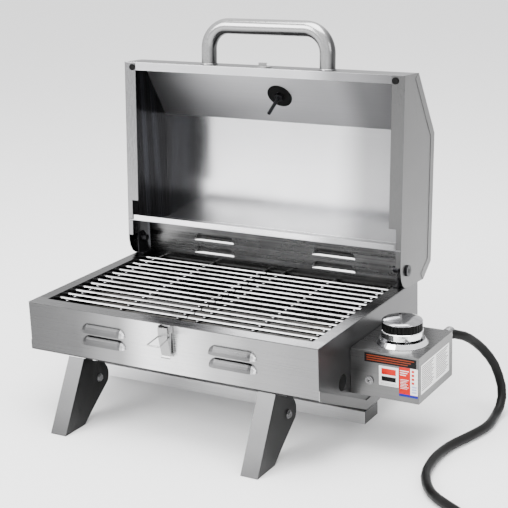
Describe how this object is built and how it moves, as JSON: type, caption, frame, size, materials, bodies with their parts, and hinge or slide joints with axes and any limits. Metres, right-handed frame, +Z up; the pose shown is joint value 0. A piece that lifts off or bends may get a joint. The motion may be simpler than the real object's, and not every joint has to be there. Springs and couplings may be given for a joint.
{
  "type": "portable gas grill",
  "caption": "Tabletop gas grill: V-bottomed steel firebox, hinged hood held open, folding legs, wire grates, drip tray, side control box with knob and gas hose.",
  "frame": {"origin": "on the table under the middle of the grill, measured without the gas hose", "axes": "+X to the side with the control box, +Y to the back, away from the lid handle when the lid is shut, +Z up"},
  "size_m": [0.8495, 0.821, 0.5847],
  "materials": {
    "brushed_stainless": "brushed stainless sheet",
    "mirror_stainless": "bright annealed stainless sheet",
    "wire_steel": "drawn stainless wire",
    "burner_steel": "heat-tinted steel tube",
    "bolt_steel": "zinc-plated fasteners",
    "dark_steel": "dark painted bracket",
    "knob_chrome": "polished chrome ring",
    "knob_black": "black moulded plastic",
    "knob_cap_gloss": "glossy dark cap",
    "valve_brass": "machined brass",
    "bumper_rubber": "black rubber",
    "gauge_black": "black gasket",
    "gauge_white": "printed dial without lettering",
    "gauge_red": "red needle",
    "hose_rubber": "black rubber hose",
    "regulator_metal": "die-cast zinc grey"
  },
  "bodies": {
    "firebox": {"front_panel": "brushed_stainless", "left_side_panel": "brushed_stainless", "right_side_panel": "brushed_stainless", "rear_wall": "mirror_stainless", "top_rim": "brushed_stainless", "bottom_pan": "brushed_stainless", "front_tray_rail": "brushed_stainless", "rear_tray_rail": "brushed_stainless", "left_hinge_ear": "dark_steel", "right_hinge_ear": "dark_steel", "left_hinge_bolt": "bolt_steel", "right_hinge_bolt": "bolt_steel", "burner_tube": "burner_steel", "burner_bracket": "burner_steel", "flame_tamer": "burner_steel", "gas_valve": "valve_brass", "gas_orifice": "valve_brass", "supply_pipe": "valve_brass", "inlet_fitting": "valve_brass", "control_box_shell": "brushed_stainless", "control_box_screw": "bolt_steel", "knob_bezel": "knob_chrome", "latch_base": "brushed_stainless", "front_left_leg_bolt": "bolt_steel", "front_right_leg_bolt": "bolt_steel", "rear_left_leg_bolt": "bolt_steel", "rear_right_leg_bolt": "bolt_steel", "hose": "hose_rubber", "hose_coil": "hose_rubber", "hose_tail": "hose_rubber", "regulator": "regulator_metal", "cylinder_nut": "knob_black"},
    "lid": {"lid_shell": "brushed_stainless", "lid_left_side": "brushed_stainless", "lid_right_side": "brushed_stainless", "left_bumper": "bumper_rubber", "right_bumper": "bumper_rubber", "lid_catch": "brushed_stainless", "lid_handle": "brushed_stainless", "left_handle_screw": "bolt_steel", "right_handle_screw": "bolt_steel", "thermometer_case": "brushed_stainless", "thermometer_dial": "gauge_white", "thermometer_needle": "gauge_red", "thermometer_disc": "gauge_black", "thermometer_nut": "bolt_steel", "thermometer_probe": "burner_steel"},
    "latch_lever": {"latch_lever": "brushed_stainless"},
    "latch_bail": {"latch_bail": "wire_steel"},
    "valve_stem": {"valve_stem": "valve_brass"},
    "knob": {"knob_skirt": "knob_chrome", "knob_grip": "knob_black", "knob_cap": "knob_cap_gloss"},
    "left_grate": {"left_grate": "wire_steel"},
    "right_grate": {"right_grate": "wire_steel"},
    "grease_tray": {"grease_tray": "brushed_stainless"},
    "front_left_leg": {"front_left_leg": "brushed_stainless"},
    "front_right_leg": {"front_right_leg": "brushed_stainless"},
    "rear_left_leg": {"rear_left_leg": "brushed_stainless"},
    "rear_right_leg": {"rear_right_leg": "brushed_stainless"}
  },
  "joints": [
    {"name": "lid_hinge", "type": "hinge", "parent": "firebox", "child": "lid", "pos_m": [-0.0525, 0.1263, 0.2115], "axis": [1, 0, 0], "range_deg": [0, 93.8]},
    {"name": "latch_lever_pivot", "type": "hinge", "parent": "firebox", "child": "latch_lever", "pos_m": [-0.0465, -0.1785, 0.1805], "axis": [-1, 0, 0], "range_deg": [0, 80]},
    {"name": "latch_bail_pivot", "type": "hinge", "parent": "latch_lever", "child": "latch_bail", "pos_m": [-0.0465, -0.18, 0.1695], "axis": [-1, 0, 0], "range_deg": [-55, 40]},
    {"name": "knob_push", "type": "slide", "parent": "firebox", "child": "valve_stem", "axis": [0, 0, -1], "range_m": [0, 0.003], "stiffness_N_per_m": 600},
    {"name": "knob_turn", "type": "hinge", "parent": "valve_stem", "child": "knob", "pos_m": [0.2555, -0.0205, 0.18], "axis": [0, 0, 1], "range_deg": [0, 225]},
    {"name": "left_grate_lift", "type": "slide", "parent": "firebox", "child": "left_grate", "axis": [0, 0, 1], "range_m": [0, 0.005]},
    {"name": "right_grate_lift", "type": "slide", "parent": "firebox", "child": "right_grate", "axis": [0, 0, 1], "range_m": [0, 0.005]},
    {"name": "grease_tray_slide", "type": "slide", "parent": "firebox", "child": "grease_tray", "axis": [1, 0, 0], "range_m": [0, 0.3]},
    {"name": "front_left_leg_fold", "type": "hinge", "parent": "firebox", "child": "front_left_leg", "pos_m": [-0.22, -0.133, 0.062], "axis": [1, 0, 0], "range_deg": [0, 112]},
    {"name": "front_right_leg_fold", "type": "hinge", "parent": "firebox", "child": "front_right_leg", "pos_m": [0.1135, -0.133, 0.062], "axis": [1, 0, 0], "range_deg": [0, 112]},
    {"name": "rear_left_leg_fold", "type": "hinge", "parent": "firebox", "child": "rear_left_leg", "pos_m": [-0.22, 0.133, 0.062], "axis": [-1, 0, 0], "range_deg": [0, 112]},
    {"name": "rear_right_leg_fold", "type": "hinge", "parent": "firebox", "child": "rear_right_leg", "pos_m": [0.1135, 0.133, 0.062], "axis": [-1, 0, 0], "range_deg": [0, 112]}
  ]
}
